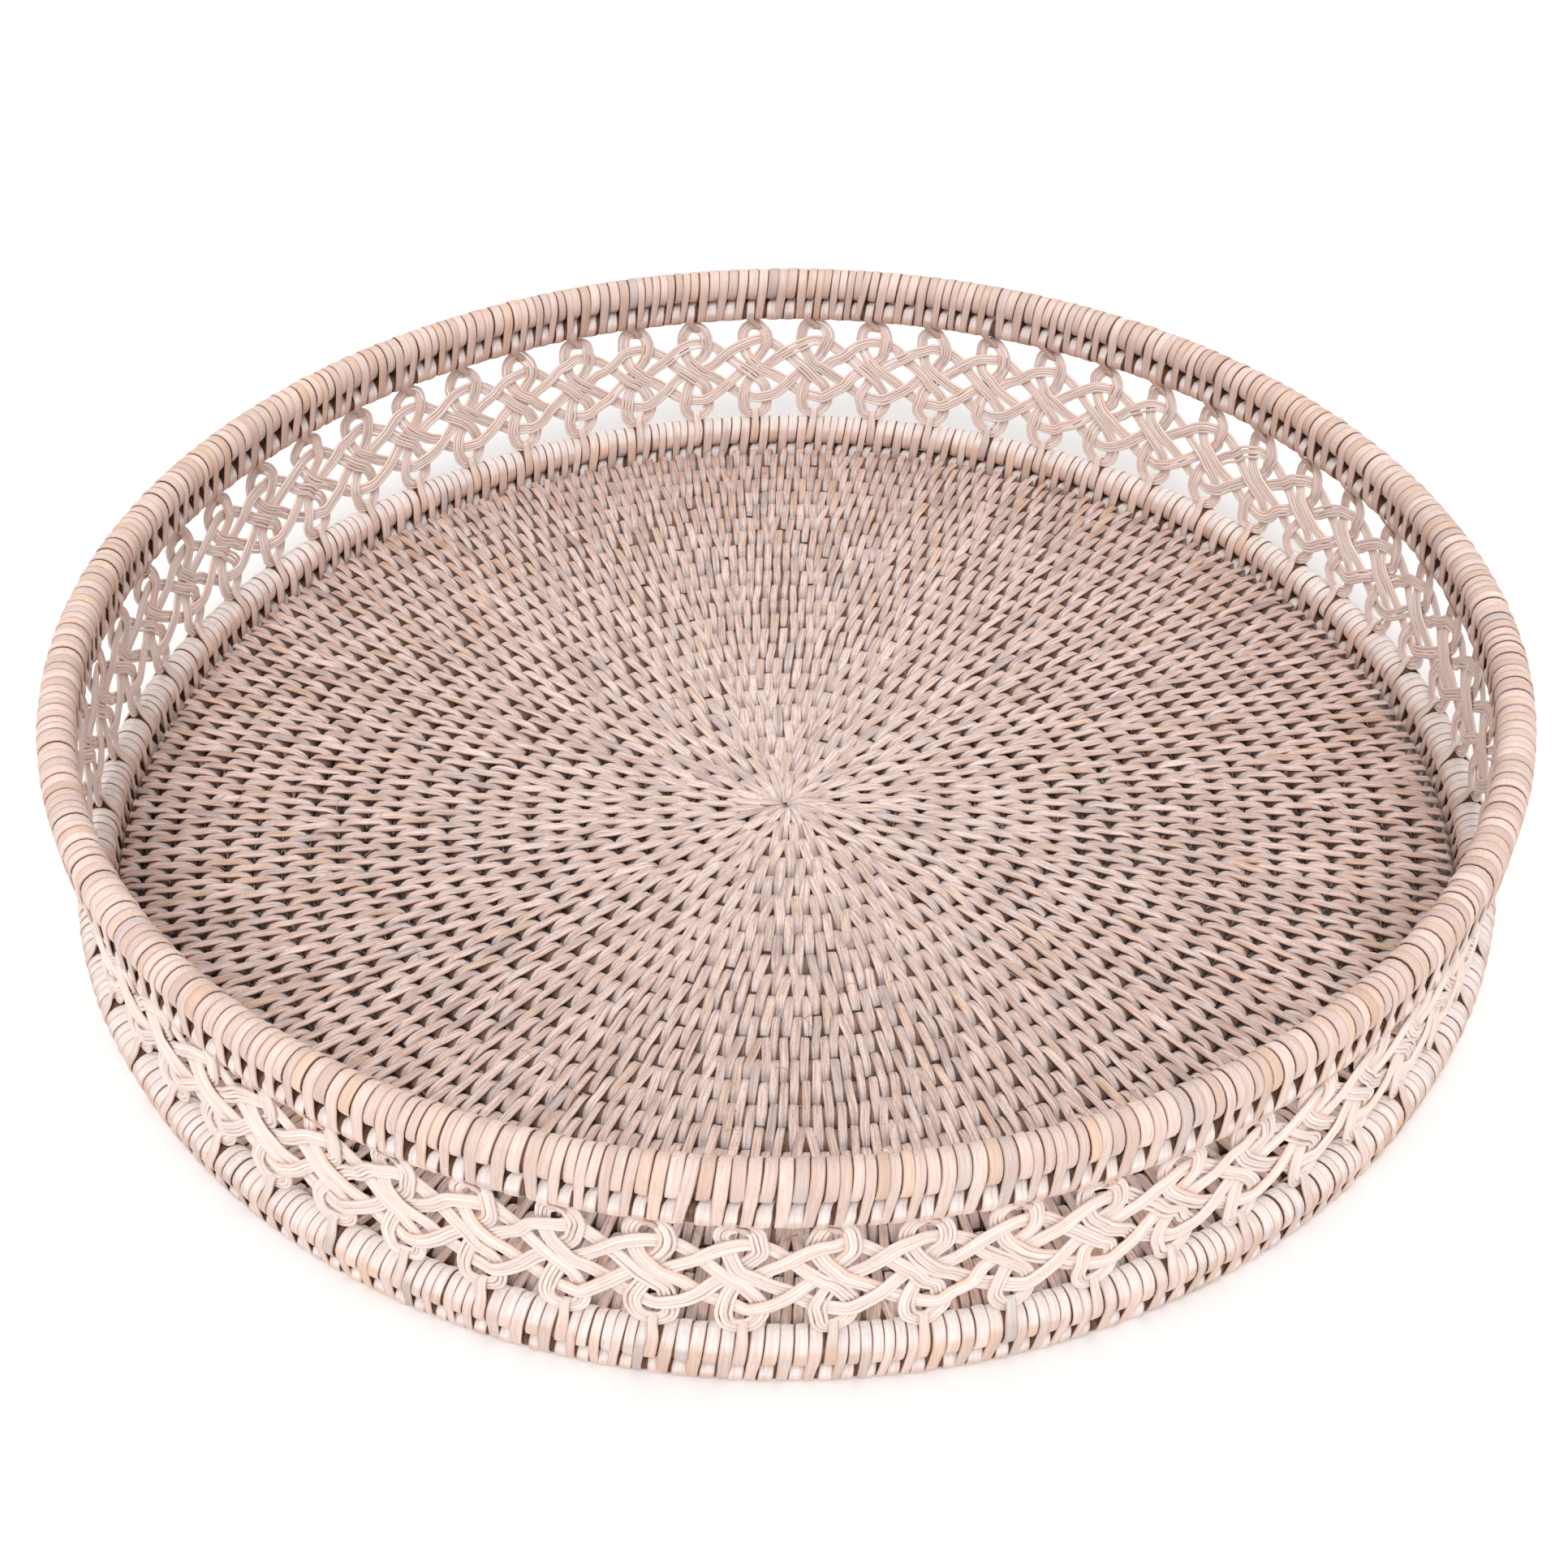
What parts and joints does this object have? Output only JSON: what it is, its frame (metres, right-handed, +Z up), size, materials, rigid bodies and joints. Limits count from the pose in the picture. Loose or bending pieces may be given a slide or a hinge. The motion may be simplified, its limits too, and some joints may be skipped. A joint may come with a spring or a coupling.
{
  "type": "serving tray",
  "caption": "Round coiled rattan serving tray with a stitched flat floor, an openwork plaited wall and a bound rim.",
  "frame": {"origin": "on the table, under the centre of the tray", "axes": "+Z up out of the tray; the tray is round, so X and Y are any two directions across it"},
  "size_m": [0.43, 0.43, 0.08],
  "materials": {
    "peel": "whitewashed split rattan peel, matt",
    "stitching": "whitewashed split rattan peel, matt, wiped back more than on the rim",
    "weavers": "whitewashed round core cane, matt",
    "cane": "brown rattan cane, matt, seen only in the gaps"
  },
  "bodies": {
    "root": {"floor_cane_1": "cane", "floor_cane_2": "cane", "floor_cane_3": "cane", "floor_cane_4": "cane", "floor_stitching_top": "stitching", "floor_stitching_underside": "stitching", "edge_hoop_thin": "cane", "edge_hoop_thick": "cane", "rim_hoop_thin": "cane", "rim_hoop_thick": "cane", "edge_binding_1": "peel", "edge_binding_2": "peel", "edge_binding_3": "peel", "edge_binding_4": "peel", "edge_binding_5": "peel", "edge_binding_6": "peel", "edge_binding_7": "peel", "edge_binding_8": "peel", "rim_binding_1": "peel", "rim_binding_2": "peel", "rim_binding_3": "peel", "rim_binding_4": "peel", "rim_binding_5": "peel", "rim_binding_6": "peel", "rim_binding_7": "peel", "rim_binding_8": "peel", "weaver_bottom_loops_a_1": "weavers", "weaver_bottom_loops_a_2": "weavers", "weaver_bottom_loops_a_3": "weavers", "weaver_bottom_loops_a_4": "weavers", "weaver_bottom_loops_a_5": "weavers", "weaver_bottom_loops_a_6": "weavers", "weaver_bottom_loops_b_1": "weavers", "weaver_bottom_loops_b_2": "weavers", "weaver_bottom_loops_b_3": "weavers", "weaver_bottom_loops_b_4": "weavers", "weaver_bottom_loops_b_5": "weavers", "weaver_bottom_loops_b_6": "weavers", "weaver_top_loops_a_1": "weavers", "weaver_top_loops_a_2": "weavers", "weaver_top_loops_a_3": "weavers", "weaver_top_loops_a_4": "weavers", "weaver_top_loops_a_5": "weavers", "weaver_top_loops_a_6": "weavers", "weaver_top_loops_b_1": "weavers", "weaver_top_loops_b_2": "weavers", "weaver_top_loops_b_3": "weavers", "weaver_top_loops_b_4": "weavers", "weaver_top_loops_b_5": "weavers", "weaver_top_loops_b_6": "weavers"}
  },
  "joints": []
}
